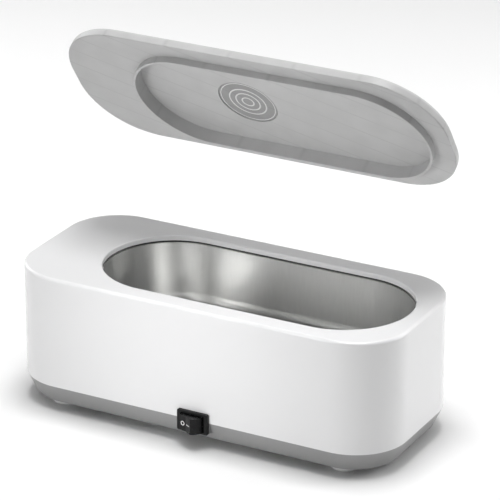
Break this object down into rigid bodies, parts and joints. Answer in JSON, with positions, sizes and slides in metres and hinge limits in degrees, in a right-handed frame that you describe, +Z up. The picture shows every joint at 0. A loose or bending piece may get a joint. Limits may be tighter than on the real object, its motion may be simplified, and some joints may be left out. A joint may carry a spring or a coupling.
{
  "type": "ultrasonic cleaner",
  "caption": "Small cordless ultrasonic cleaner: rounded white housing with a steel tank, grey base tray, rocker switch and a lift-off lid shown held above it.",
  "frame": {"origin": "on the surface it stands on, below the middle of the housing", "axes": "+X along the length to the right, +Y to the rear away from the switch, +Z up"},
  "size_m": [0.2, 0.102, 0.1786],
  "materials": {
    "housing_white": "moulded white, smooth",
    "tray_grey": "moulded mid grey, fine texture",
    "lid_grey": "smooth light grey moulding",
    "badge_grey": "bare grey disc",
    "foot_rubber": "translucent pale rubber",
    "gasket_rubber": "black silicone",
    "inner_plastic": "unpainted moulding",
    "tank_steel": "deep-drawn satin stainless",
    "screw_steel": "zinc plated",
    "plate_aluminium": "turned",
    "piezo_ceramic": "fired ceramic",
    "electrode_silver": "silvered face with a solder blob",
    "cell_jacket": "printed film jacket",
    "contact_nickel": "nickel-plated spring steel",
    "switch_black": "black nylon",
    "rocker_black": "black nylon",
    "terminal_brass": "tinned brass tab",
    "board_green": "solder-masked glass epoxy",
    "chip_black": "moulded epoxy",
    "capacitor_sleeve": "shrink sleeve",
    "film_red": "dipped epoxy",
    "inductor_winding": "enamelled copper wire on a ring core",
    "sink_aluminium": "black anodised",
    "connector_nylon": "natural nylon",
    "wire_red": "insulated wire",
    "wire_black": "insulated wire",
    "wire_yellow": "insulated wire"
  },
  "bodies": {
    "case": {"base_tray": "tray_grey", "battery_cell_1": "cell_jacket", "battery_cell_2": "cell_jacket", "battery_cell_3": "cell_jacket", "battery_cell_4": "cell_jacket", "battery_contacts_front": "contact_nickel", "battery_contacts_rear": "contact_nickel", "battery_wires": "wire_red", "board_screws": "screw_steel", "case_screws": "screw_steel", "circuit_board": "board_green", "driver_chip": "chip_black", "electrolytic_capacitors": "capacitor_sleeve", "film_capacitor": "film_red", "foot_left_front": "foot_rubber", "foot_left_rear": "foot_rubber", "foot_right_front": "foot_rubber", "foot_right_rear": "foot_rubber", "heat_sink": "sink_aluminium", "piezo_disc": "piezo_ceramic", "piezo_electrode": "electrode_silver", "power_transistor": "chip_black", "retainer_screws": "screw_steel", "switch_housing": "switch_black", "switch_terminals": "terminal_brass", "switch_wire": "wire_black", "tank": "tank_steel", "tank_gasket": "gasket_rubber", "tank_retainer": "inner_plastic", "toroid_inductor": "inductor_winding", "transducer_plate": "plate_aluminium", "transducer_wires": "wire_yellow", "upper_housing": "housing_white", "wire_connectors": "connector_nylon"},
    "lid": {"lid": "lid_grey", "lid_badge": "badge_grey"},
    "rocker": {"switch_rocker": "rocker_black"},
    "door": {"battery_door": "tray_grey"}
  },
  "joints": [
    {"name": "lid_lift", "type": "hinge", "parent": "case", "child": "lid", "pos_m": [0, 0.085, 0.0824], "axis": [1, 0, 0], "range_deg": [0, 54.6]},
    {"name": "rocker_tip", "type": "hinge", "parent": "case", "child": "rocker", "pos_m": [0.003, -0.0448, 0.0125], "axis": [0, 0, 1], "range_deg": [0, 44]},
    {"name": "door_slide", "type": "slide", "parent": "case", "child": "door", "axis": [0, 1, 0], "range_m": [0, 0.065]}
  ]
}
